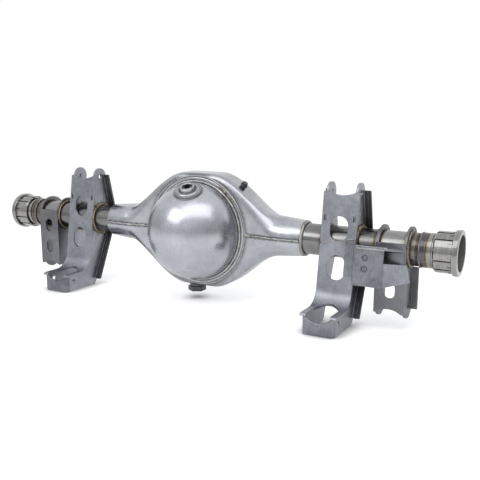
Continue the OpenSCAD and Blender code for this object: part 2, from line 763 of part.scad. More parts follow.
module link_welds() color("#7d756a")
    for (s = [-1, 1], t = [-1, 1]) {
        x = s * link_x + t * cheek_out;
        top_from = line_angle(weld_far[0], weld_far[1]) + line_turn(weld_far[0], weld_far[1]);
        foot_to = 360 + line_angle(weld_far[1], weld_far[2]) - line_turn(weld_far[1], weld_far[2]);
        weld_arc(x, t, weld_leg, top_from, strip_angle - strip_turn);
        weld_arc(x, t, weld_leg, strip_angle + strip_turn, foot_to);
    }

module arm_welds() color("#7d756a")
    for (s = [-1, 1], t = [-1, 1]) weld_ring(s * arm_x + t * arm_w / 2, t, weld_leg - 1);

module collar_welds() color("#857a66")
    for (s = [-1, 1]) weld_ring(s * collar_x, -s, neck_ring_r - tube_r);

upper_shell();
lower_shell();
rear_ring();
rear_dome();
dome_weld();
carrier_ring();
carrier_studs();
fill_bung();
fill_plug();
drain_bung();
drain_plug();
vent_fitting();
left_axle_tube();
right_axle_tube();
left_end_collar();
right_end_collar();
left_link_face();
left_link_inner_cheek();
left_link_outer_cheek();
left_coil_cup();
right_link_face();
right_link_inner_cheek();
right_link_outer_cheek();
right_coil_cup();
left_arm_bracket();
right_arm_bracket();
track_bar_bracket();
track_bar_top();
arm_end_welds();
link_welds();
arm_welds();
collar_welds();
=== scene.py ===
"""Looks of a bare steel axle housing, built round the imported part. Shapes are worked out in millimetres."""
import math

import bmesh
import bpy
from mathutils import Matrix, Vector


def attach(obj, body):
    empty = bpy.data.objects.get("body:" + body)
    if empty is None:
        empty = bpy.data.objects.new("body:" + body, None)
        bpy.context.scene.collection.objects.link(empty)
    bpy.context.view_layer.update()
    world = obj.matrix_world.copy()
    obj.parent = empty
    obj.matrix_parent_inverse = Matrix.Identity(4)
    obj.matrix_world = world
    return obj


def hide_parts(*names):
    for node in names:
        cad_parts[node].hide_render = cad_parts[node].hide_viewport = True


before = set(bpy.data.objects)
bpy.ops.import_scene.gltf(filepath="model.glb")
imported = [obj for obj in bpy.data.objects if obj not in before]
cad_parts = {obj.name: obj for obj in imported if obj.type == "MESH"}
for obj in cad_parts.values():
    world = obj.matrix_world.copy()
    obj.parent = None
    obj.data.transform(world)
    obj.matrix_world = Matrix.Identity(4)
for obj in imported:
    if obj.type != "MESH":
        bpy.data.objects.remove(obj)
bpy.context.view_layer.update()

MM = 0.001
SIDES = (-1, 1)
WHOLE_TURN = 2 * math.pi

# Edges that turn by more degrees than this count as corners
CORNER = 32

# Sizes of the part that the dressed pieces follow, in millimetres and degrees
FLOOR_Z = -188
BODY_R = 149
BODY_HALF_DEPTH = 41
SHELL_WALL = 6
ARM_END_X = 293
ARM_END_R = 44.5
ARM_FLARE = 14
CROWN_W = 42
CROWN_FALL = 180
DEPTH_CHANGE_X = (150, 270)
SECTION_CHANGE_X = (110, 225)
SQUARE_POWER = 8
ROUND_POWER = 2
RING_R = 141
RING_SEAT_Y = 32
RING_FACE_Y = 42
RING_ROOM = 0.15
DOME_R = 126
DOME_DEPTH = 127
DOME_WALL = 5
DOME_SKIRT = 9.5
CARRIER_BORE_R = 113
STUD_CIRCLE_R = 123
STUD_R = 4.75
SHANK_R = 5.35
STUD_REACH = 32
STUD_COUNT = 10
THREAD_PITCH = 1.75
THREAD_DEPTH = 0.75
FILL_X = 12.7
FILL_UP = 63
FILL_PAD_R = 36
PLUG_R = 13.9
PLUG_LENGTH = 14
TUBE_R = 38.1
TUBE_BORE_R = 31.75
TUBE_START_X = 241
COLLAR_X = 578
BEARING_R = 41
BEARING_START_X = 632
LINK_X = 391
CHEEK_OUT = 39
CHEEK_TAB_Z = 62
ARM_X = 517
ARM_HALF_W = 35
ARM_FACE_Y = -45
FACE_OFF = 45.966
FACE_LEAN = 9
CUP_MOUTH_Y = -144
CUP_ROUNDING = 3.2

# Track bar bracket: its front, its dimples as (x, z), the start of its side tab, and the dark web plate inside it,
# which stands for shade
STRAP_FRONT_Y = -30
DIMPLES = ((469, -20), (469, -45))
SIDE_TAB_X = 511.6
SIDE_TAB_STRETCH = 1.6
WEB_X = (488, 548)
WEB_Z = (-38, -3)
WEB_WALL = 2
WEB_GAP = 0.2

# Lines that distances are measured from, as a place and a way
AXLE = ((0, 0, 0), (1, 0, 0))
RING_AXIS = ((0, 0, 0), (0, 1, 0))

# The plane of the right link bracket's face: x as in the part, y square to the face, z up along it
ON_STRIP = Matrix.Translation((0, -FACE_OFF, 0)) @ Matrix.Rotation(math.radians(-FACE_LEAN), 4, "X")

# Middle of the fill bung's pad on the dome, and the way it faces
fill_z = DOME_R * math.sin(math.radians(FILL_UP))
fill_out = math.sqrt(1 - (FILL_X ** 2 + fill_z ** 2) / DOME_R ** 2)
fill_place = Vector((FILL_X, -RING_FACE_Y - DOME_DEPTH * fill_out, fill_z))
fill_normal = Vector((FILL_X / DOME_R ** 2, -fill_out / DOME_DEPTH, fill_z / DOME_R ** 2)).normalized()
AT_FILL = Matrix.Translation(fill_place) @ fill_normal.to_track_quat("Z", "Y").to_matrix().to_4x4()


# Node trees

class Nodes:
    """The node tree of a material or of the world, with short ways to add and join its nodes."""

    def __init__(self, owner):
        owner.use_nodes = True
        self.tree = owner.node_tree

    def add(self, kind, **settings):
        node = self.tree.nodes.new(kind)
        for key, value in settings.items():
            setattr(node, key, value)
        return node

    def put(self, socket, value):
        """Joins a socket to an input, or writes a plain value into it."""
        if isinstance(value, bpy.types.NodeSocket):
            self.tree.links.new(value, socket)
        else:
            socket.default_value = value

    def fill(self, node, **values):
        """Sets inputs by their names, with _ for a space."""
        for name, value in values.items():
            self.put(node.inputs[name.replace("_", " ")], value)
        return node

    def calc(self, operation, a, b=0.0, clamp=False):
        node = self.add("ShaderNodeMath", operation=operation, use_clamp=clamp)
        self.put(node.inputs[0], a)
        self.put(node.inputs[1], b)
        return node.outputs[0]

    def vector(self, operation, *values):
        node = self.add("ShaderNodeVectorMath", operation=operation)
        for socket, value in zip(node.inputs, values):
            self.put(socket, value)
        return node.outputs

    def spread(self, value, low, high, to_low=0.0, to_high=1.0, kind="SMOOTHSTEP"):
        """Maps a value from one range to another, held at both ends."""
        node = self.add("ShaderNodeMapRange", interpolation_type=kind)
        self.fill(node, Value=value, From_Min=low, From_Max=high, To_Min=to_low, To_Max=to_high)
        return node.outputs["Result"]

    def blend(self, amount, a, b):
        """Goes from one shader to another."""
        node = self.add("ShaderNodeMixShader")
        for socket, value in zip(node.inputs, (amount, a, b)):
            self.put(socket, value)
        return node.outputs[0]


class Finish(Nodes):
    """The nodes of one finish, laid out in the part's own coordinates."""

    def __init__(self, name, metal=1.0):
        self.material = bpy.data.materials.new(name)
        super().__init__(self.material)
        self.shader = self.tree.nodes["Principled BSDF"]
        self.shader.inputs["Metallic"].default_value = metal
        self.place = self.add("ShaderNodeTexCoord").outputs["Object"]

    def paint(self, colour, roughness):
        self.put(self.shader.inputs["Base Color"], colour)
        self.put(self.shader.inputs["Roughness"], roughness)

    def noise(self, scale, detail, roughness, stretch=(1, 1, 1)):
        mapping = self.fill(self.add("ShaderNodeMapping"), Vector=self.place, Scale=stretch)
        node = self.add("ShaderNodeTexNoise")
        self.fill(node, Vector=mapping.outputs["Vector"], Scale=scale, Detail=detail, Roughness=roughness)
        return node.outputs["Fac"]

    def sway(self, noise, low, high):
        """Stretches the middle of a noise to a range."""
        return self.spread(noise, 0.3, 0.7, low, high)

    def within(self, distance, low, high, to_low=0.0, to_high=1.0):
        """Maps a distance whose range is given in millimetres."""
        return self.spread(distance, low * MM, high * MM, to_low, to_high)

    def axes(self):
        return self.fill(self.add("ShaderNodeSeparateXYZ"), Vector=self.place).outputs

    def from_plane(self, axis, place=0.0):
        """Distance along an axis from a place in millimetres, to either side of it."""
        return self.calc("ABSOLUTE", self.calc("SUBTRACT", self.axes()[axis], place * MM))

    def off_axis(self, place, way):
        """Distance from a line through a place in millimetres, along a unit vector."""
        arm = self.vector("SUBTRACT", self.place, tuple(MM * c for c in place))["Vector"]
        across = self.vector("CROSS_PRODUCT", arm, tuple(way))["Vector"]
        return self.vector("LENGTH", across)["Value"]

    def ramp(self, value, stops):
        node = self.fill(self.add("ShaderNodeValToRGB"), Fac=value)
        elements = node.color_ramp.elements
        while len(elements) < len(stops):
            elements.new(0.5)
        for element, (place, colour) in zip(elements, stops):
            element.position = place
            element.color = (*colour, 1)
        return node.outputs["Color"]

    def mix(self, kind, amount, a, b):
        """Mixes two colours. The sockets are taken by number, because the node has others with the same names."""
        node = self.add("ShaderNodeMix", data_type="RGBA", blend_type=kind)
        for index, value in ((0, amount), (6, a), (7, b)):
            self.put(node.inputs[index], value)
        return node.outputs[2]

    def soft_edge(self, radius):
        """Normals that turn smoothly over sharp edges."""
        return self.fill(self.add("ShaderNodeBevel", samples=6), Radius=radius * MM).outputs["Normal"]

    def edge_wear_and_highlight(self, soft):
        """How near a sharp edge a place is, from 0 to 1, broken up by noise."""
        flat = self.add("ShaderNodeNewGeometry").outputs["Normal"]
        near = self.spread(self.vector("DOT_PRODUCT", soft, flat)["Value"], 0.80, 0.985, 0.7, 0.0)
        return self.calc("MULTIPLY", near, self.spread(self.noise(140, 3, 0.6), 0.35, 0.6))

    def bump(self, height, strength, depth, normal=None):
        node = self.fill(self.add("ShaderNodeBump"), Height=height, Strength=strength, Distance=depth * MM)
        if normal:
            self.put(node.inputs["Normal"], normal)
        self.put(self.shader.inputs["Normal"], node.outputs["Normal"])


# Where finishes change: heat near welds, and dark or bright places

def near_rings(places, reach):
    """Heat near flat rings round the tube, at distances from the middle of the housing."""
    def heat(f):
        along = f.from_plane("X")
        best = 0.0
        for x in places:
            gap = f.calc("ABSOLUTE", f.calc("SUBTRACT", along, x * MM))
            best = f.calc("MAXIMUM", best, f.within(gap, 2, reach, 0.85, 0.0))
        return best
    return heat


def near_tube(f):
    """Heat on plates, close to the axle tube that passes through them."""
    return f.within(f.off_axis(*AXLE), TUBE_R, TUBE_R + 9, 0.7, 0.0)


def near_arm_ends(f):
    """Heat on the shells, at the arm ends."""
    return f.within(f.from_plane("X"), ARM_END_X - 8, ARM_END_X, 0.0, 0.34)


def near_ring_patch(f):
    """Heat on the upper right of the rear ring, where it was welded twice."""
    x, _, z = f.axes()
    side = f.calc("MULTIPLY", f.within(x, 55, 75), f.within(x, 100, 118, 1.0, 0.0))
    corner = f.calc("MULTIPLY", side, f.within(z, 60, 80))
    return f.calc("MULTIPLY", corner, f.spread(f.noise(120, 3, 0.6), 0.4, 0.6, 0.2, 0.75))


def shell_seam_line_and_ring_shade(f):
    """Dark lines on the shells: darker along both sides of the level seam, and painted shade round the rings on their
    rear and front faces.
    """
    wander = f.sway(f.noise(170, 3, 0.6), -1.2 * MM, 1.2 * MM)
    seam = f.within(f.calc("ADD", f.from_plane("Z"), wander), 2.8, 8, 0.28, 1.0)
    # Painted shade: a dark band round each ring, where the ring shades the shell
    ring = f.within(f.calc("ADD", f.off_axis(*RING_AXIS), wander), RING_R + 1, RING_R + 15, 0.46, 1.0)
    edge = f.within(f.from_plane("Y"), 26, 34, 1.0, 0.0)
    return f.calc("MULTIPLY", seam, f.calc("MAXIMUM", ring, edge))


def dome_rim_and_pad_shade(f):
    """Painted shade on the dome: dark lines in the corner at its rim and round the fill bung's pad."""
    # Painted shade in the corners next to the rear ring and the bung's pad
    rim = f.within(f.from_plane("Y"), RING_FACE_Y + 1, RING_FACE_Y + 8, 0.30, 1.0)
    pad = f.within(f.off_axis(fill_place, fill_normal), FILL_PAD_R + 0.5, FILL_PAD_R + 4, 0.42, 1.0)
    return f.calc("MULTIPLY", rim, pad)


def rear_ring_edge_shade(f):
    """Painted shade: dark lines at the inner and outer edges of the rear ring."""
    radius = f.off_axis(*RING_AXIS)
    # Painted shade at the ring's edge beside the dome weld and at its rolled outer edge
    inside = f.within(radius, DOME_R + 5, DOME_R + 7.5, 0.28, 1.0)
    return f.calc("MULTIPLY", inside, f.within(radius, RING_R - 3, RING_R - 0.5, 1.0, 0.35))


def bung_ring_shade(f):
    """Painted shade round the fill bung: dark lines at its pad's edge, the foot of its boss and its bore."""
    radius = f.off_axis(fill_place, fill_normal)
    # Painted shade in the groove at the pad's edge, under the boss's lip and in the bore
    rim = f.within(radius, 32.5, 35.2, 1.0, 0.4)
    foot = f.calc("MAXIMUM", f.within(radius, 18.5, 20.2, 1.0, 0.3), f.within(radius, 21.8, 24.8, 0.3, 1.0))
    bore = f.within(radius, 12.2, 13.8, 0.3, 1.0)
    return f.calc("MULTIPLY", f.calc("MULTIPLY", rim, foot), bore)


def tube_tone_along_x(f):
    """The tubes are brightest inside the arm brackets and darkest next to the collars."""
    along = f.from_plane("X")
    inner = f.within(along, ARM_X - 39, ARM_X - 31, 0.68, 1.0)
    return f.calc("MULTIPLY", inner, f.within(along, ARM_X + 33, ARM_X + 40, 1.0, 0.60))


def in_bearing_bore(plain, bored):
    """One value on the outside of the collars, another in the bore for the wheel bearing."""
    def value(f):
        bore = f.within(f.off_axis(*AXLE), BEARING_R + 0.3, BEARING_R + 1, 1.0, 0.0)
        end = f.within(f.from_plane("X"), BEARING_START_X - 1, BEARING_START_X)
        return f.spread(f.calc("MULTIPLY", bore, end), 0.0, 1.0, plain, bored)
    return value


def cheek_flange_shade(f):
    """Painted shade: the turned-out flanges of the cheeks are darkened where the cheeks shade them, and the ends of
    their tabs are darkened too.
    """
    off = f.calc("ABSOLUTE", f.calc("SUBTRACT", f.from_plane("X"), LINK_X * MM))
    # Painted shade: the flanges beside the cheeks are darkened
    flange = f.within(off, CHEEK_OUT + 0.3, CHEEK_OUT + 2.5, 1.0, 0.30)
    past_tab = f.within(f.from_plane("Z", CHEEK_TAB_Z), 6.8, 7.5)
    tab_end = f.within(f.axes()["Y"], -33.8, -32.2, 0.5, 1.0)
    return f.calc("MULTIPLY", flange, f.calc("MAXIMUM", past_tab, tab_end))


def strap_tab_highlight_and_dimple_rims(f):
    """Painted light: the side tab of the track bar bracket is brightened to stand for the light on its side-facing
    face, and its two dimples are dark at the rim.
    """
    # Painted light: the side tab is made 1.4 times brighter
    shade = f.within(f.axes()["X"], SIDE_TAB_X - 1, SIDE_TAB_X + 2, 1.0, 1.4)
    way = ON_STRIP.to_3x3() @ Vector((0, 1, 0))
    for x, z in DIMPLES:
        radius = f.off_axis(ON_STRIP @ Vector((x, STRAP_FRONT_Y, z)), way)
        rim = f.calc("MAXIMUM", f.within(radius, 3.5, 5.8, 0.80, 0.42), f.within(radius, 6.6, 8.8, 0.42, 1.0))
        shade = f.calc("MULTIPLY", shade, rim)
    return shade


# Finishes

# Colours that heat leaves on bare steel, from plain metal to the edge of the weld
HEAT_STOPS = (
    (0.00, (1.00, 1.00, 1.00)), (0.28, (0.95, 0.90, 0.80)), (0.48, (0.70, 0.61, 0.46)),
    (0.64, (0.44, 0.36, 0.32)), (0.76, (0.35, 0.33, 0.42)), (0.88, (0.38, 0.41, 0.50)),
    (1.00, (0.30, 0.28, 0.27)),
)
# Share of the colour for tones from half to one and a half times the plain one
TONE_STOPS = ((0.0, (0.50, 0.50, 0.51)), (0.5, (1.0, 1.0, 1.0)), (1.0, (1.45, 1.45, 1.44)))
# Gain of the brightened sharp edges: partly wear of the cut edges, partly a painted highlight
EDGE_WEAR_AND_HIGHLIGHT_GAIN = 1.5
EVEN = (1, 1, 1)


def steel(name, colour, rough, stretch, fine, contrast, dapple, dent, heat=None, stain=None, edge=0.0, dull=None):
    """Bare steel: clouds and grain in its colour, gloss and relief.

    Stretch and fine shape the grain, contrast and dapple are the strength of grain and clouds, and dent is the
    strength of the relief. Heat gives heat colours, stain a darker or lighter share of the colour, which is mostly
    painted shade and painted light, edge the radius in millimetres of a softened edge whose colour is brightened,
    partly as wear and partly as a painted highlight, and dull a rougher surface."""
    f = Finish(name)
    cloud = f.noise(11, 4, 0.5)
    patch = f.noise(60, 4, 0.6)
    grain = f.noise(fine, 3, 0.6, stretch)
    tone = f.sway(cloud, 1 - dapple, 1 + dapple)
    tone = f.calc("MULTIPLY", tone, f.spread(grain, 0.25, 0.75, 1 - contrast, 1 + contrast))
    tone = f.calc("MULTIPLY", tone, f.sway(patch, 1 - dapple / 2, 1 + dapple / 2))
    shown = f.mix("MULTIPLY", 1.0, (*colour, 1), f.ramp(f.spread(tone, 0.5, 1.5), TONE_STOPS))
    if heat:
        wander = f.sway(f.noise(110, 4, 0.6), -0.16, 0.16)
        glow = f.calc("MULTIPLY", heat(f), f.calc("ADD", 1.0, wander), clamp=True)
        shown = f.mix("MULTIPLY", 1.0, shown, f.ramp(glow, HEAT_STOPS))
    if stain:
        shown = f.mix("MULTIPLY", 1.0, shown, stain(f))
    soft = f.soft_edge(edge) if edge else None
    if soft:
        # Painted highlight and wear: the colour is brightened near sharp edges
        shown = f.mix("MIX", f.edge_wear_and_highlight(soft), shown, tuple(EDGE_WEAR_AND_HIGHLIGHT_GAIN * c for c in colour) + (1,))
    gloss = f.calc("ADD", f.sway(patch, -0.03, 0.03), f.sway(grain, -0.4 * contrast, 0.4 * contrast))
    if dull:
        gloss = f.calc("ADD", gloss, dull(f))
    f.paint(shown, f.calc("ADD", gloss, rough))
    f.bump(f.calc("ADD", grain, f.calc("MULTIPLY", patch, 0.4)), dent, 0.4, soft)
    return f.material


def black_oxide(name):
    """Black plug steel, worn grey in places."""
    f = Finish(name, metal=0.7)
    worn = f.noise(160, 5, 0.65)
    colour = f.ramp(f.spread(worn, 0.3, 0.75), (
        (0.0, (0.018, 0.018, 0.021)), (0.6, (0.040, 0.040, 0.046)), (1.0, (0.12, 0.12, 0.125))))
    f.paint(colour, f.sway(worn, 0.32, 0.52))
    f.bump(worn, 0.15, 0.5)
    return f.material


def weld_metal(name, dark, light):
    """Weld metal: brown and straw patches on a bright bead."""
    f = Finish(name)
    stain = f.noise(55, 5, 0.65)
    scale = f.noise(420, 3, 0.6)
    colour = f.ramp(f.calc("ADD", stain, f.calc("MULTIPLY", scale, 0.25), clamp=True), (
        (0.42, dark), (0.62, light), (0.80, tuple(1.25 * c for c in light))))
    f.paint(colour, f.sway(scale, 0.26, 0.46))
    f.bump(scale, 0.25, 0.6)
    return f.material


TUBE_WELDS = (LINK_X - CHEEK_OUT, LINK_X + CHEEK_OUT, ARM_X - ARM_HALF_W, ARM_X + ARM_HALF_W, COLLAR_X)

dome_steel = steel("dome_steel", (0.47, 0.478, 0.515), 0.26, (1, 1, 0.12), 380, 0.015, 0.07, 0.003,
                   stain=dome_rim_and_pad_shade)
shell_steel = steel("shell_steel", (0.42, 0.426, 0.458), 0.24, (0.12, 1, 1), 380, 0.02, 0.10, 0.004,
                    heat=near_arm_ends, stain=shell_seam_line_and_ring_shade)
ring_steel = steel("ring_steel", (0.40, 0.405, 0.425), 0.24, (1, 0.2, 1), 420, 0.06, 0.08, 0.03,
                   heat=near_ring_patch, stain=rear_ring_edge_shade)
bung_steel = steel("bung_steel", (0.36, 0.365, 0.39), 0.26, EVEN, 420, 0.06, 0.08, 0.03, stain=bung_ring_shade)
tube_steel = steel("tube_steel", (0.29, 0.288, 0.288), 0.20, (0.06, 1, 1), 480, 0.12, 0.08, 0.04,
                   heat=near_rings(TUBE_WELDS, 18), stain=tube_tone_along_x)
collar_steel = steel("collar_steel", (0.31, 0.306, 0.292), 0.13, (1, 0.03, 0.03), 800, 0.16, 0.06, 0.06,
                     heat=near_rings((COLLAR_X + 2,), 24), stain=in_bearing_bore(1.0, 0.8),
                     dull=in_bearing_bore(0.0, 0.4))
plate_steel = steel("plate_steel", (0.305, 0.311, 0.345), 0.42, (1, 1, 0.3), 620, 0.10, 0.12, 0.08,
                    heat=near_tube, edge=1.2)
cheek_steel = steel("cheek_steel", (0.34, 0.345, 0.378), 0.45, (1, 0.3, 1), 620, 0.12, 0.12, 0.08,
                    heat=near_tube, stain=cheek_flange_shade, edge=1.2)
# Painted shade: a darker copy of the plate steel for the arm brackets and the web, which lie in shade
arm_shade_steel = steel("arm_shade_steel", (0.188, 0.19, 0.205), 0.42, (1, 1, 0.3), 620, 0.12, 0.14, 0.08,
                  heat=near_tube, edge=1.2)
cup_steel = steel("cup_steel", (0.22, 0.224, 0.248), 0.38, (1, 1, 0.3), 520, 0.12, 0.22, 0.12, edge=2.2)
strap_steel = steel("strap_steel", (0.245, 0.25, 0.277), 0.40, (1, 1, 0.06), 620, 0.14, 0.12, 0.10,
                    stain=strap_tab_highlight_and_dimple_rims, edge=1.4)
scale_steel = steel("scale_steel", (0.10, 0.101, 0.108), 0.34, (1, 1, 0.06), 620, 0.20, 0.12, 0.10)
stud_steel = steel("stud_steel", (0.34, 0.34, 0.35), 0.30, EVEN, 600, 0.10, 0.06, 0.06)
plug_black = black_oxide("plug_black")
weld_brown = weld_metal("weld_brown", (0.05, 0.043, 0.032), (0.225, 0.20, 0.15))
weld_grey = weld_metal("weld_grey", (0.16, 0.152, 0.14), (0.40, 0.395, 0.385))
weld_bright = weld_metal("weld_bright", (0.27, 0.26, 0.245), (0.47, 0.47, 0.47))


# Ways of making pieces

ALONG_X = Matrix.Rotation(math.radians(90), 4, "Y")
ALONG_Y = Matrix.Rotation(math.radians(-90), 4, "X")
REARWARD = Matrix.Rotation(math.radians(90), 4, "X")


def new_mesh(name, bm):
    mesh = bpy.data.meshes.new(name)
    bm.to_mesh(mesh)
    bm.free()
    return mesh


def new_object(name, data):
    thing = bpy.data.objects.new(name, data)
    bpy.context.scene.collection.objects.link(thing)
    return thing


def mark_corners(bm, corner=CORNER):
    """Smooth faces with sharp corners."""
    for face in bm.faces:
        face.smooth = True
    for edge in bm.edges:
        edge.smooth = edge.calc_face_angle(0) < math.radians(corner)


def finish_piece(name, bm, material, nodes=(), corner=CORNER):
    """Turns a bmesh in millimetres into a piece that rides on the housing and stands for the named nodes."""
    bmesh.ops.scale(bm, vec=(MM, MM, MM), verts=bm.verts)
    mark_corners(bm, corner)
    mesh = new_mesh(name, bm)
    old_normals = mesh.attributes.get("custom_normal")
    if old_normals:
        mesh.attributes.remove(old_normals)
    mesh.materials.append(material)
    piece = new_object(name, mesh)
    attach(piece, "root")
    if nodes:
        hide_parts(*nodes)
    return piece


def clean(bm):
    """Merges the doubles that spinning and folding leave, and points the faces outwards."""
    bmesh.ops.remove_doubles(bm, verts=bm.verts, dist=0.002)
    bmesh.ops.dissolve_degenerate(bm, dist=0.0005, edges=bm.edges)
    bmesh.ops.recalc_face_normals(bm, faces=bm.faces)


def bevel(bm, edges, width, segments, clamp=True):
    bmesh.ops.bevel(bm, geom=edges, offset=width, offset_type="OFFSET", segments=segments, profile=0.5,
                    affect="EDGES", clamp_overlap=clamp, material=-1, loop_slide=True)


def sharp_edges(bm, corner):
    return [edge for edge in bm.edges if edge.is_manifold and edge.calc_face_angle(0) > math.radians(corner)]


def bevel_corners(bm, width, corner=CORNER):
    bevel(bm, sharp_edges(bm, corner), width, 2)


def turned(profile, steps, turn, width=0.0):
    """Spins a closed half section of (radius, height) round Z, rounds its corners and turns it into place."""
    bm = bmesh.new()
    verts = [bm.verts.new((r, 0, h)) for r, h in profile]
    edges = [bm.edges.new(pair) for pair in zip(verts, verts[1:] + verts[:1])]
    bmesh.ops.spin(bm, geom=verts + edges, cent=(0, 0, 0), axis=(0, 0, 1), angle=WHOLE_TURN, steps=steps,
                   use_merge=True)
    clean(bm)
    if width:
        bevel_corners(bm, width)
    bmesh.ops.transform(bm, matrix=turn, verts=bm.verts)
    return bm


def disc(radius, depth, turn, steps):
    bm = bmesh.new()
    bmesh.ops.create_cone(bm, cap_ends=True, cap_tris=False, segments=steps, radius1=radius, radius2=radius,
                          depth=depth, matrix=turn)
    return bm


def merged_node(node):
    """A copy of a node in millimetres, with its triangles joined into flat faces."""
    bm = bmesh.new()
    bm.from_mesh(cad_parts[node].data)
    bmesh.ops.scale(bm, vec=(1 / MM, 1 / MM, 1 / MM), verts=bm.verts)
    bmesh.ops.remove_doubles(bm, verts=bm.verts, dist=0.01)
    bmesh.ops.dissolve_degenerate(bm, dist=0.005, edges=bm.edges)
    bmesh.ops.dissolve_limit(bm, angle_limit=math.radians(0.5), verts=bm.verts, edges=bm.edges,
                             use_dissolve_boundaries=False)
    return bm


def rounded_node(node, material, width, corner=CORNER, first=None):
    """A merged copy of a node with its sharp edges rounded, which stands for the node."""
    bm = merged_node(node)
    if first:
        first(bm)
    bevel_corners(bm, width, corner)
    piece = finish_piece(node + "_piece", bm, material, (node,), corner=50)
    even = piece.modifiers.new("even_shading", "WEIGHTED_NORMAL")
    even.mode, even.weight, even.keep_sharp = "FACE_AREA", 90, True


def bead(curve, length, radius, pitch, ripple, closed=True, round_steps=10, swell=None):
    """A rippled weld bead: a grid rolled into a tube along a curve of t from 0 to 1, tapered if its ends are open."""
    count = max(int(length / pitch), 3)
    stations = 4 * count
    step = 0.0005
    bm = bmesh.new()
    bmesh.ops.create_grid(bm, x_segments=stations, y_segments=round_steps, size=0.5)
    for vert in bm.verts:
        t, turn = vert.co.x + 0.5, (vert.co.y + 0.5) * WHOLE_TURN
        here = curve(t)
        ahead = (curve(t + step) - curve(t - step)).normalized()
        side = ahead.cross(Vector((0.31, 0.87, 0.38))).normalized()
        size = radius * (1 - ripple + ripple * abs(math.sin(math.pi * count * t)))
        if swell:
            size *= swell(t)
        if not closed:
            size *= min(1.0, math.sqrt(max(0.0, min(t, 1 - t)) * stations / 6))
        vert.co = here + size * (math.cos(turn) * side + math.sin(turn) * ahead.cross(side))
    clean(bm)
    return bm


def on_circle(radius, t):
    """A point of a circle, for t from 0 to 1 round it."""
    return radius * math.cos(WHOLE_TURN * t), radius * math.sin(WHOLE_TURN * t)


def join(parts):
    """Gathers several bmeshes into one."""
    whole = bmesh.new()
    for part in parts:
        mesh = new_mesh("part", part)
        whole.from_mesh(mesh)
        bpy.data.meshes.remove(mesh)
    return whole


# Pressed shells

def between(a, b, x, start, end):
    """Eases from one value to another, as x goes out from start to end."""
    t = min(max((abs(x) - start) / (end - start), 0.0), 1.0)
    return a + (b - a) * t * t * (3 - 2 * t)


def arm_radius(x):
    return ARM_END_R + ARM_FLARE * max(ARM_END_X - abs(x), 0) / (ARM_END_X - RING_R)


def shell_height(x):
    return between(BODY_R, arm_radius(x), x, CROWN_W, CROWN_W + CROWN_FALL)


def shell_depth(x):
    return between(BODY_HALF_DEPTH, arm_radius(x), x, *DEPTH_CHANGE_X)


def section_power(x):
    """The section is a squared-off box at the middle and round at the arm ends."""
    return between(SQUARE_POWER, ROUND_POWER, x, *SECTION_CHANGE_X)


def shell_y(x, z):
    """Distance of the outside of the shells from the middle plane, at a place seen from behind."""
    power = section_power(x)
    return shell_depth(x) * max(1 - min(abs(z) / shell_height(x), 1) ** power, 0) ** (1 / power)


def cut_away(piece, cutter_bm):
    """Takes a cutter's solid out of a piece."""
    bmesh.ops.scale(cutter_bm, vec=(MM, MM, MM), verts=cutter_bm.verts)
    cutter = new_object("cutter", new_mesh("cutter", cutter_bm))
    modifier = piece.modifiers.new("opening", "BOOLEAN")
    modifier.operation, modifier.solver, modifier.object = "DIFFERENCE", "EXACT", cutter
    graph = bpy.context.evaluated_depsgraph_get()
    piece.data = bpy.data.meshes.new_from_object(piece.evaluated_get(graph))
    piece.modifiers.clear()
    bpy.data.objects.remove(cutter)


def pressed_shell(name, side, node):
    """Half of the centre section: a sheet shaped from arm end to arm end, thickened and opened for the rings."""
    bm = bmesh.new()
    bmesh.ops.create_grid(bm, x_segments=180, y_segments=120, size=1)
    for vert in bm.verts:
        x, turn = ARM_END_X * vert.co.x, math.pi / 2 * (1 + vert.co.y)
        power = section_power(x)
        across, up = math.cos(turn), max(math.sin(turn), 0.0)
        size = (abs(across) ** power + up ** power) ** (-1 / power)
        vert.co = (x, shell_depth(x) * size * across, side * shell_height(x) * size * up)
    bmesh.ops.recalc_face_normals(bm, faces=bm.faces)
    crown = Vector((0, 0, side * BODY_R))
    middle = min(bm.faces, key=lambda face: (face.calc_center_median() - crown).length)
    if middle.normal.z * side < 0:
        bmesh.ops.reverse_faces(bm, faces=bm.faces)
    bmesh.ops.solidify(bm, geom=bm.faces[:], thickness=SHELL_WALL)
    piece = finish_piece(name, bm, shell_steel, (node,))
    reach = 40
    for way in SIDES:
        lift = Matrix.Translation((0, way * (RING_SEAT_Y + reach / 2), 0))
        cut_away(piece, disc(RING_R + RING_ROOM, reach, lift @ ALONG_Y, 160))
    bm = bmesh.new()
    bm.from_mesh(piece.data)
    mark_corners(bm)
    bm.to_mesh(piece.data)
    bm.free()


pressed_shell("pressed_upper_shell", 1, "upper_shell")
pressed_shell("pressed_lower_shell", -1, "lower_shell")


# Dome, rings and their welds

def dome_curve(inset, steps):
    """Half of the dome's section, from its rim to its top, a distance inside its outer face."""
    angles = [math.radians(90 * i / steps) for i in range(steps + 1)]
    radius, depth = DOME_R - inset, DOME_DEPTH - inset
    return [(radius * math.cos(a), RING_FACE_Y + depth * math.sin(a)) for a in angles]


skirt_y = RING_FACE_Y - DOME_SKIRT
dome_profile = [
    (DOME_R, skirt_y), *dome_curve(0, 44), *dome_curve(DOME_WALL, 30)[::-1], (DOME_R - DOME_WALL, skirt_y),
]
finish_piece("spun_dome", turned(dome_profile, 160, REARWARD), dome_steel, ("rear_dome",))

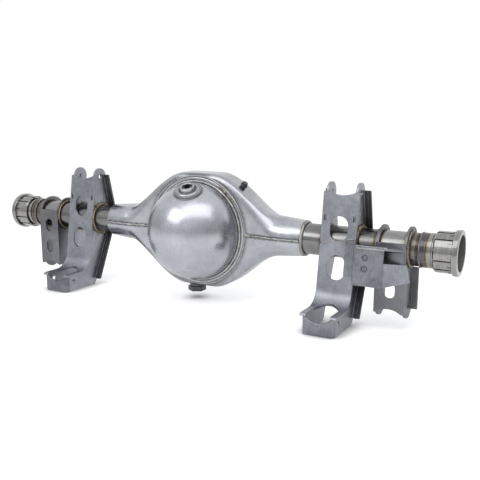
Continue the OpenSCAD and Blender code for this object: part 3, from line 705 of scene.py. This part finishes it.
rear_ring_profile = [
    (DOME_R + 0.2, RING_SEAT_Y), (RING_R, RING_SEAT_Y), (RING_R, RING_FACE_Y - 5),
    (RING_R - 0.5, RING_FACE_Y - 2.8), (RING_R - 1.6, RING_FACE_Y - 1.2), (RING_R - 3.2, RING_FACE_Y - 0.3),
    (RING_R - 5, RING_FACE_Y), (DOME_R + 8, RING_FACE_Y), (DOME_R + 7, RING_FACE_Y - 0.5),
    (DOME_R + 6.4, RING_FACE_Y - 1.6), (DOME_R + 0.2, RING_FACE_Y - 1.6),
]
rear_ring = turned(rear_ring_profile, 180, REARWARD)
finish_piece("rolled_rear_ring", rear_ring, ring_steel, ("rear_ring",))


def dome_edge(t):
    """The corner between the dome and the rear ring."""
    x, z = on_circle(DOME_R + 2.6, t)
    return Vector((x, -RING_FACE_Y + 0.6, z))


dome_bead = bead(dome_edge, WHOLE_TURN * DOME_R, radius=3.3, pitch=4.5, ripple=0.09)
finish_piece("dome_weld_bead", dome_bead, weld_bright, ("dome_weld",))


def ring_edge(way):
    """The line where a ring leaves the shells, which swings in and out with their surface."""
    def curve(t):
        x, z = on_circle(RING_R + 0.9, t)
        return Vector((x, way * max(shell_y(x, z), RING_SEAT_Y + 1), z))
    return curve


ring_beads = join([bead(ring_edge(way), WHOLE_TURN * RING_R, radius=1.9, pitch=4.0, ripple=0.12, round_steps=8)
                   for way in SIDES])
finish_piece("ring_weld_beads", ring_beads, weld_bright)

carrier_profile = [
    (CARRIER_BORE_R, RING_SEAT_Y), (RING_R, RING_SEAT_Y), (RING_R, RING_FACE_Y), (CARRIER_BORE_R, RING_FACE_Y),
]
carrier_ring = turned(carrier_profile, 180, ALONG_Y, 1.2)
finish_piece("machined_carrier_ring", carrier_ring, collar_steel, ("carrier_ring",))


def threaded_stud():
    """A stud with its head behind the ring, a plain shank and a thread in front."""
    head_r, back, root = STUD_R + 2, RING_SEAT_Y, STUD_R - THREAD_DEPTH
    start, end = RING_FACE_Y + 4, RING_FACE_Y + STUD_REACH
    outline = [(0, back - 5), (head_r - 0.4, back - 5), (head_r, back - 4.4), (head_r, back), (SHANK_R, back),
               (SHANK_R, RING_FACE_Y), (STUD_R, RING_FACE_Y + 0.3), (STUD_R, start)]
    for i in range(int((end - start - 2) / THREAD_PITCH)):
        outline += [(root, start + THREAD_PITCH * (i + 0.5)), (STUD_R, start + THREAD_PITCH * (i + 1))]
    outline += [(root, end - 0.6), (root - 1, end), (0, end)]
    return turned(outline, 18, ALONG_Y)


def stud_pattern():
    studs = []
    for i in range(STUD_COUNT):
        stud = threaded_stud()
        turn = Matrix.Rotation(WHOLE_TURN * i / STUD_COUNT, 4, "Y")
        place = turn @ Matrix.Translation((0, 0, STUD_CIRCLE_R))
        bmesh.ops.transform(stud, matrix=place, verts=stud.verts)
        studs.append(stud)
    return join(studs)


finish_piece("threaded_carrier_studs", stud_pattern(), stud_steel, ("carrier_studs",))


def weld_spot(degrees, radius):
    """A drop of weld on the rear ring, at an angle from the top towards the right."""
    bm = bmesh.new()
    bmesh.ops.create_icosphere(bm, subdivisions=3, radius=radius)
    for vert in bm.verts:
        vert.co *= 1 + 0.10 * math.sin(1.9 * vert.co.x + 1.1) * math.sin(1.7 * vert.co.z)
    out, angle = RING_R - 5, math.radians(degrees)
    bmesh.ops.scale(bm, vec=(1, 0.6, 1), verts=bm.verts)
    bmesh.ops.translate(bm, vec=(out * math.sin(angle), -RING_FACE_Y, out * math.cos(angle)), verts=bm.verts)
    return bm


spots = join([weld_spot(49, 3.8), weld_spot(36, 2.6), weld_spot(42, 2.2)])
finish_piece("ring_weld_spots", spots, weld_brown)


# Seams of the shells: way is front or rear, side is left or right

def seam(way, side):
    """The level seam from the ring to the end of an arm."""
    start, end = RING_R + 1, ARM_END_X - 1

    def curve(t):
        x = start + (end - start) * t
        return Vector((side * x, way * (shell_depth(x) + 0.2), 0.4 * math.sin(37 * t)))

    def swell(t):
        return 1 + 0.3 * math.sin(23 * t) ** 2 + 1.2 * max(0, (t - 0.95) / 0.05)

    return bead(curve, end - start, radius=2.0, pitch=4.2, ripple=0.25, closed=False, round_steps=8, swell=swell)


def seam_fill(way, side):
    """The wedge of weld where a seam runs up to the ring."""
    start, end = RING_R - 1, RING_R + 19

    def curve(t):
        x = start + (end - start) * t
        return Vector((side * x, way * (shell_depth(x) - 1.5 + 2 * (1 - t)), 0))

    return bead(curve, end - start, radius=6.5, pitch=3.4, ripple=0.14, closed=False, round_steps=12,
                swell=lambda t: 1 - 0.75 * t)


shell_seams = join([seam(way, side) for way in SIDES for side in SIDES])
finish_piece("shell_seam_welds", shell_seams, weld_grey)
seam_fills = join([seam_fill(way, side) for way in SIDES for side in SIDES])
finish_piece("seam_fill_welds", seam_fills, weld_grey)


# Fill bung, plugs and vent

# Half section of the bung as (radius, height): socket, pad with a stepped rim, boss with a rounded mouth
bung_profile = [
    (14.1, -10), (19, -10), (19, -5), (FILL_PAD_R, -5.6), (FILL_PAD_R, -2.2), (35.2, -1.3), (33.6, -0.9),
    (32.2, -1.6), (31.2, -1.4), (30.2, 0.6), (28.6, 2.4), (26.4, 3.4), (23.6, 3.6), (22.4, 3.0), (21.4, 3.4),
    (20.2, 4.6), (19.2, 6.6), (19, 9.6), (18.4, 11.2), (17.2, 12), (15.4, 12), (13.6, 11.2), (12.4, 9.8),
    (12.2, 8.4), (14.1, 8.2),
]
finish_piece("turned_fill_bung", turned(bung_profile, 96, AT_FILL), bung_steel, ("fill_bung",))


def socket_plug():
    """The fill plug: a disc low in the bung, with a raised bright rim round its socket."""
    bm = disc(PLUG_R, PLUG_LENGTH, AT_FILL @ Matrix.Translation((0, 0, 1)), 64)
    top = max(bm.faces, key=lambda face: face.calc_center_median().dot(fill_normal))
    bmesh.ops.inset_region(bm, faces=[top], thickness=4.2)
    rim = bmesh.ops.inset_region(bm, faces=[top], thickness=1.6, depth=0.9)["faces"]
    for face in rim:
        face.material_index = 1
    bmesh.ops.inset_region(bm, faces=[top], thickness=0.6, depth=-5)
    return bm


plug = finish_piece("socket_fill_plug", socket_plug(), plug_black, ("fill_plug",))
plug.data.materials.append(stud_steel)
rounded_node("drain_bung", scale_steel, 0.5)
rounded_node("drain_plug", scale_steel, 1.0)
rounded_node("vent_fitting", scale_steel, 0.4)


def fill_edge(t):
    """The edge of the bung's pad, laid on the dome."""
    flat = AT_FILL @ Vector((*on_circle(FILL_PAD_R, t), -3))
    middle = Vector((0, -RING_FACE_Y, 0))
    arm = flat - middle
    scale = math.sqrt((arm.x / DOME_R) ** 2 + (arm.y / DOME_DEPTH) ** 2 + (arm.z / DOME_R) ** 2)
    return middle + arm / scale


fill_bead = bead(fill_edge, WHOLE_TURN * FILL_PAD_R, radius=1.5, pitch=3.5, ripple=0.12, round_steps=8)
finish_piece("fill_bung_weld", fill_bead, weld_grey)


# Axle tubes and collars

tube_profile = [
    (TUBE_BORE_R, TUBE_START_X), (TUBE_R, TUBE_START_X), (TUBE_R, COLLAR_X), (TUBE_BORE_R, COLLAR_X),
]
for word, turn in (("left", ALONG_X.inverted()), ("right", ALONG_X)):
    tube = turned(tube_profile, 128, turn)
    finish_piece("drawn_%s_tube" % word, tube, tube_steel, ("%s_axle_tube" % word,))
    rounded_node("%s_end_collar" % word, collar_steel, 0.5, 40)


# Tube welds

def tube_weld(x, way, radius):
    """A bead in the corner between the tube and a plate with its outer face at x, on the side that way gives."""
    stand_off = 0.42 * radius
    reach = TUBE_R + stand_off

    def curve(t):
        return Vector((x + way * stand_off, *on_circle(reach, t)))

    return bead(curve, WHOLE_TURN * reach, radius, pitch=5.0, ripple=0.16, round_steps=8)


arm_end_beads = join([tube_weld(side * ARM_END_X, side, 4.2) for side in SIDES])
finish_piece("arm_end_weld_beads", arm_end_beads, weld_grey, ("arm_end_welds",))
link_beads = join([tube_weld(side * LINK_X + way * CHEEK_OUT, way, 5.8) for side in SIDES for way in SIDES])
finish_piece("link_weld_beads", link_beads, weld_brown, ("link_welds",))
arm_beads = join([tube_weld(side * ARM_X + way * ARM_HALF_W, way, 4.2) for side in SIDES for way in SIDES])
finish_piece("arm_weld_beads", arm_beads, weld_brown, ("arm_welds",))
collar_beads = join([tube_weld(side * COLLAR_X, -side, 2.4) for side in SIDES])
finish_piece("collar_weld_beads", collar_beads, weld_brown, ("collar_welds",))


# Bracket plates

def press_cup(bm):
    """Rounds the outer edges of a coil cup, as pressing leaves them, up to its mouth."""
    middle = Vector((math.copysign(LINK_X, bm.verts[:][0].co.x), CUP_MOUTH_Y, 0))
    mouth_y = CUP_MOUTH_Y - 0.5

    def outside(face):
        away = face.calc_center_median() - middle
        return abs(face.normal.z) < 0.1 and face.normal.x * away.x + face.normal.y * away.y > 1

    edges = [edge for edge in sharp_edges(bm, 50)
             if sum(outside(face) for face in edge.link_faces) == 1
             and all(vert.co.y < mouth_y or edge.calc_length() > 5 for vert in edge.verts)
             and not all(vert.co.y > mouth_y for vert in edge.verts)]
    bevel(bm, edges, CUP_ROUNDING, 4, clamp=False)


PLATE_FINISHES = (
    ("link_face", plate_steel, None), ("link_inner_cheek", cheek_steel, None),
    ("link_outer_cheek", cheek_steel, None), ("coil_cup", cup_steel, press_cup), ("arm_bracket", arm_shade_steel, None),
)
for word in ("left", "right"):
    for part, finish, first in PLATE_FINISHES:
        rounded_node("%s_%s" % (word, part), finish, 0.9, first=first)


def widen_tab(bm):
    """Leads the side tab on to the far edge of the arm bracket."""
    for vert in bm.verts:
        if vert.co.x > SIDE_TAB_X:
            vert.co.x = SIDE_TAB_X + SIDE_TAB_STRETCH * (vert.co.x - SIDE_TAB_X)


rounded_node("track_bar_bracket", strap_steel, 0.7, first=widen_tab)
rounded_node("track_bar_top", strap_steel, 0.7)


def strip_bead(start, end, radius, sway):
    """A weld bead that sways a little between two points in the plane of the right link bracket's face."""
    a, b = ON_STRIP @ Vector(start), ON_STRIP @ Vector(end)
    level = abs(start[0] - end[0]) > abs(start[2] - end[2])
    drift = Vector((0, 0, sway)) if level else Vector((sway, 0, 0))
    return bead(lambda t: a + (b - a) * t + drift * math.sin(31 * t), (b - a).length, radius, pitch=4.4,
                ripple=0.22, closed=False)


strap_beads = join([
    strip_bead((446, STRAP_FRONT_Y + 0.4, 0.6), (512, STRAP_FRONT_Y + 0.4, 0.6), 2.2, 0.5),
    strip_bead((412.6, -1.2, -24), (412.6, -1.2, 15), 2.6, 0.4),
    strip_bead((414, -1.2, 16.2), (434, -1.2, 16.2), 2.4, 0.3),
])
finish_piece("track_bar_weld_beads", strap_beads, weld_grey)


def shade_web():
    """A dark plate behind the opening of the track bar bracket, on the arm bracket's face: painted shade in the
    recess.
    """
    bm = bmesh.new()
    (left, right), (low, high) = WEB_X, WEB_Z
    corners = ((left, low), (right, low), (right, high), (left, high))
    bm.faces.new([bm.verts.new((x, ARM_FACE_Y, z)) for x, z in corners])
    bmesh.ops.recalc_face_normals(bm, faces=bm.faces)
    bmesh.ops.solidify(bm, geom=bm.faces[:], thickness=WEB_WALL)
    clean(bm)
    lift = ARM_FACE_Y - WEB_GAP - max(vert.co.y for vert in bm.verts)
    bmesh.ops.translate(bm, vec=(0, lift, 0), verts=bm.verts)
    bevel_corners(bm, 0.4)
    return bm


# The web is a dark sheet put in the recess as painted shade
finish_piece("track_bar_shade_web", shade_web(), arm_shade_steel)


# Floor, background and light, in metres

def pale_floor():
    """White floor that keeps the shadow of the housing, adds a painted contact shadow close under it, and turns into
    plain white further out.
    """
    bm = bmesh.new()
    level = Matrix.Translation((0, 0, FLOOR_Z * MM))
    bmesh.ops.create_grid(bm, x_segments=1, y_segments=1, size=9, matrix=level)
    mesh = new_mesh("studio_floor", bm)
    material = bpy.data.materials.new("studio_white")
    n = Nodes(material)
    n.tree.nodes.clear()
    rays = n.add("ShaderNodeLightPath").outputs
    # Painted shadow: ambient occlusion darkens the floor close under the part
    open_sky = n.fill(n.add("ShaderNodeAmbientOcclusion"), Distance=0.04).outputs["AO"]

    def painted_contact_shadow(dark, bright, mirrored):
        """A painted contact shadow: a value that falls where the floor is close under the part, and is plain in what
        the metal mirrors.
        """
        seen = n.spread(open_sky, 0.3, 0.97, dark, bright, "LINEAR")
        return n.fill(n.add("ShaderNodeMix"), Factor=rays["Is Camera Ray"], A=mirrored, B=seen).outputs["Result"]

    paper = n.fill(n.add("ShaderNodeBsdfDiffuse"), Color=painted_contact_shadow(0.30, 0.80, 0.80)).outputs[0]
    glow = n.fill(n.add("ShaderNodeEmission"), Strength=painted_contact_shadow(0.0, 0.46, 0.27)).outputs[0]
    plain = n.fill(n.add("ShaderNodeEmission"), Strength=1.0).outputs[0]
    lit = n.add("ShaderNodeAddShader")
    n.put(lit.inputs[0], paper)
    n.put(lit.inputs[1], glow)
    span = n.vector("LENGTH", n.add("ShaderNodeTexCoord").outputs["Object"])["Value"]
    white = n.blend(n.spread(span, 0.9, 2.0, kind="LINEAR"), lit.outputs[0], plain)
    shown = n.calc("MAXIMUM", rays["Is Camera Ray"], rays["Is Glossy Ray"])
    n.fill(n.add("ShaderNodeOutputMaterial"), Surface=n.blend(shown, paper, white))
    mesh.materials.append(material)
    new_object("studio_floor", mesh)


def studio_air():
    """White to the eye. The metal sees a white backdrop behind it, and a room with a bright ceiling in front."""
    world = bpy.data.worlds.new("studio_air")
    bpy.context.scene.world = world
    n = Nodes(world)
    n.tree.nodes.clear()
    rays = n.add("ShaderNodeLightPath").outputs
    axes = n.add("ShaderNodeSeparateXYZ")
    x, y, z = n.fill(axes, Vector=n.add("ShaderNodeTexCoord").outputs["Generated"]).outputs
    ceiling = n.spread(z, 0.05, 0.55, 0.66, 0.95)
    right_side = n.spread(x, 0.45, 0.95, 1.0, 0.62)
    air = n.add("ShaderNodeBackground")
    n.fill(air, Color=(0.97, 0.98, 1.0, 1), Strength=n.calc("MULTIPLY", ceiling, right_side))
    white = n.fill(n.add("ShaderNodeBackground"), Color=(1, 1, 1, 1))
    backdrop = n.calc("MULTIPLY", rays["Is Glossy Ray"], n.spread(y, 0.1, 0.6))
    eye = n.calc("MAXIMUM", rays["Is Camera Ray"], rays["Is Transmission Ray"])
    shown = n.blend(n.calc("MAXIMUM", eye, backdrop), air.outputs[0], white.outputs[0])
    n.fill(n.add("ShaderNodeOutputWorld"), Surface=shown)


def soft_box(name, place, size, radiance):
    """A soft light panel of a given brightness, turned to the middle of the housing."""
    lamp = bpy.data.lights.new(name, "AREA")
    lamp.shape = "RECTANGLE"
    lamp.size, lamp.size_y = size
    lamp.energy = radiance * math.pi * size[0] * size[1]
    holder = new_object(name, lamp)
    holder.location = place
    holder.rotation_euler = (-Vector(place)).to_track_quat("-Z", "Y").to_euler()


pale_floor()
studio_air()
soft_box("left_soft_box", place=(-0.87, -1.7, 1.44), size=(1.25, 1.0), radiance=2.5)
soft_box("top_soft_box", place=(0.72, -1.0, 1.9), size=(2.7, 1.3), radiance=1.2)


# Camera at the photograph's viewing angle

CAMERA_PLACE = (0.9432, -1.5026, 0.3152)
CAMERA_YAW, CAMERA_DOWN = math.radians(29.1), math.radians(11.1)
FOCAL_PIXELS, PHOTO_PIXELS = 677.8, 480
SENSOR_WIDTH = 36

camera_data = bpy.data.cameras.new("photo_camera")
camera_data.sensor_width = SENSOR_WIDTH
camera_data.lens = FOCAL_PIXELS / PHOTO_PIXELS * SENSOR_WIDTH
camera = new_object("photo_camera", camera_data)
camera.location = CAMERA_PLACE
ahead = math.cos(CAMERA_DOWN)
sight = Vector((-math.sin(CAMERA_YAW) * ahead, math.cos(CAMERA_YAW) * ahead, -math.sin(CAMERA_DOWN)))
camera.rotation_euler = sight.to_track_quat("-Z", "Y").to_euler()
bpy.context.scene.camera = camera
bpy.context.scene.view_settings.view_transform = "Standard"
